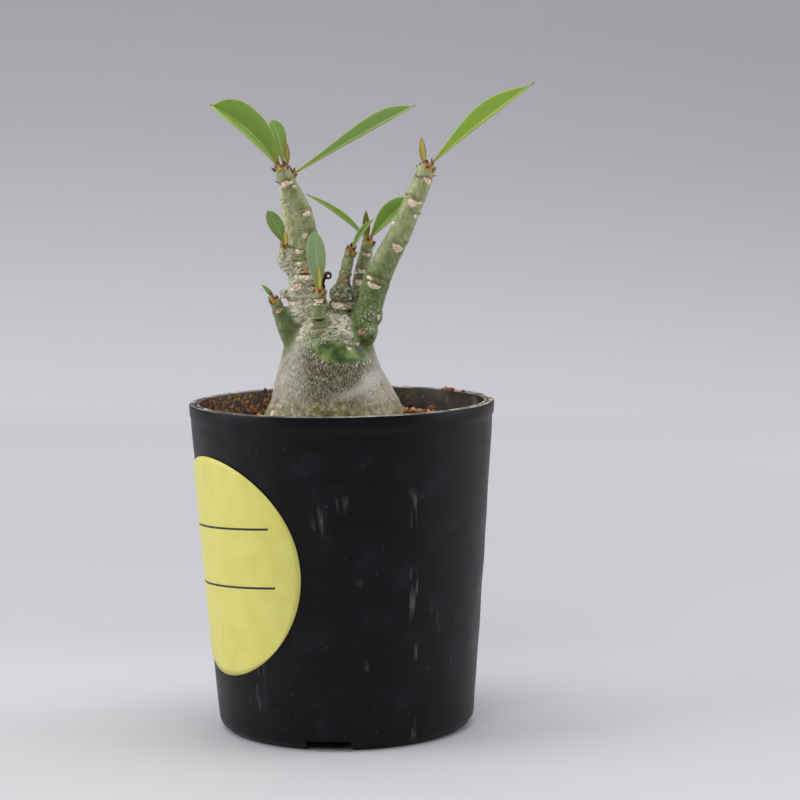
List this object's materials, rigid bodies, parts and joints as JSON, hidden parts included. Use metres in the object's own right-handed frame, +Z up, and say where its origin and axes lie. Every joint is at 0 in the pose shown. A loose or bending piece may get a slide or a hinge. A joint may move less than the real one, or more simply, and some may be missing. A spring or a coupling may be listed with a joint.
{
  "type": "potted desert rose",
  "caption": "Young desert rose with a swollen grey trunk, upright green branches and a few leaves, in a tapered black plastic pot with a plain round label.",
  "frame": {"origin": "centre of the pot's flat underside, on the surface that the pot stands on", "axes": "+Z up, along the pot's axis and the plant; -Y is the front of the plant; +X is the side that the longest branch leans to"},
  "size_m": [0.1026, 0.09, 0.1897],
  "materials": {
    "pot": "satin",
    "label": "satin",
    "soil": "matte",
    "stone": "matte",
    "caudex": "satin",
    "green_stem": "satin",
    "old_stem": "satin",
    "bud": "matte",
    "leaf": "satin",
    "pale_leaf": "satin",
    "young_leaf": "satin"
  },
  "bodies": {
    "root": {"caudex": "caudex", "pot": "pot", "round_label": "label", "potting_mix": "soil", "stone_1": "stone", "stone_2": "stone", "stone_3": "stone", "stone_4": "stone", "stone_5": "stone", "stone_6": "stone", "stone_7": "stone", "stone_8": "stone", "stone_9": "stone", "stone_10": "stone", "stone_11": "stone", "stone_12": "stone", "right_branch": "green_stem", "left_front_branch": "green_stem", "mid_rear_shoot": "green_stem", "left_rear_branch": "old_stem", "mid_front_shoot": "old_stem", "front_shoot": "old_stem", "left_low_shoot": "old_stem", "left_knob_shoot": "old_stem", "right_branch_bud": "bud", "left_front_bud": "bud", "left_rear_bud": "bud", "mid_front_bud": "bud", "mid_rear_bud": "bud", "front_bud": "bud", "left_low_bud": "bud", "left_knob_bud": "bud", "left_top_leaf": "leaf", "left_back_leaf": "leaf", "rear_long_leaf": "leaf", "mid_broad_leaf": "leaf", "knob_leaf": "leaf", "low_leaf": "leaf", "right_long_leaf": "pale_leaf", "mid_slender_leaf": "pale_leaf", "mid_folded_leaf": "pale_leaf", "front_broad_leaf": "pale_leaf", "left_young_leaf": "young_leaf", "right_young_leaf": "young_leaf", "mid_bud_leaf": "young_leaf", "front_young_leaf": "young_leaf", "knob_young_leaf": "young_leaf"}
  },
  "joints": []
}
